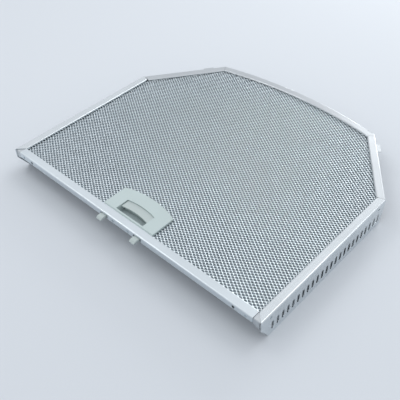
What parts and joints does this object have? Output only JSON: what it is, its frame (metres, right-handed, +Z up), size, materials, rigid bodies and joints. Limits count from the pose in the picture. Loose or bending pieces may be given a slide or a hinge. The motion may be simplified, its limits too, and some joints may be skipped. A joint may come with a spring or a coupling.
{
  "type": "cooker hood filter",
  "caption": "Metal grease filter for a cooker hood, with an arched rear edge, slotted side plates and a sprung latch with a finger pull at the front.",
  "frame": {"origin": "middle of the footprint, latch tabs included, on the surface that the side plates stand on", "axes": "+Z up out of the visible mesh face, +X along the front rail towards the right side plate, +Y from the front rail with the latch towards the arched rear rail"},
  "size_m": [0.38, 0.329, 0.032],
  "materials": {
    "rail": "satin anodised sheet",
    "side_plate": "bright rolled sheet",
    "mesh": "bare expanded mesh",
    "fine_mesh": "bare fine mesh",
    "handle_plastic": "moulded, fine texture",
    "slider_plastic": "moulded, satin",
    "spring_steel": "drawn wire"
  },
  "bodies": {
    "filter": {"front_rail": "rail", "left_frame_rail": "rail", "right_frame_rail": "rail", "rear_rail": "rail", "left_side_plate": "side_plate", "right_side_plate": "side_plate", "face_mesh": "mesh", "filter_layer_1": "fine_mesh", "filter_layer_2": "fine_mesh", "filter_layer_3": "fine_mesh", "filter_layer_4": "fine_mesh", "filter_layer_5": "fine_mesh", "filter_layer_6": "fine_mesh", "filter_layer_7": "fine_mesh", "back_mesh": "mesh", "handle_plate": "handle_plastic", "latch_cover": "handle_plastic", "left_latch_spring": "spring_steel", "right_latch_spring": "spring_steel"},
    "latch": {"latch_slider": "slider_plastic"}
  },
  "joints": [
    {"name": "latch_slide", "type": "slide", "parent": "filter", "child": "latch", "axis": [0, 1, 0], "range_m": [0, 0.0072], "stiffness_N_per_m": 250, "springref_m": -0.01, "deforming": ["left_latch_spring", "right_latch_spring"]}
  ]
}
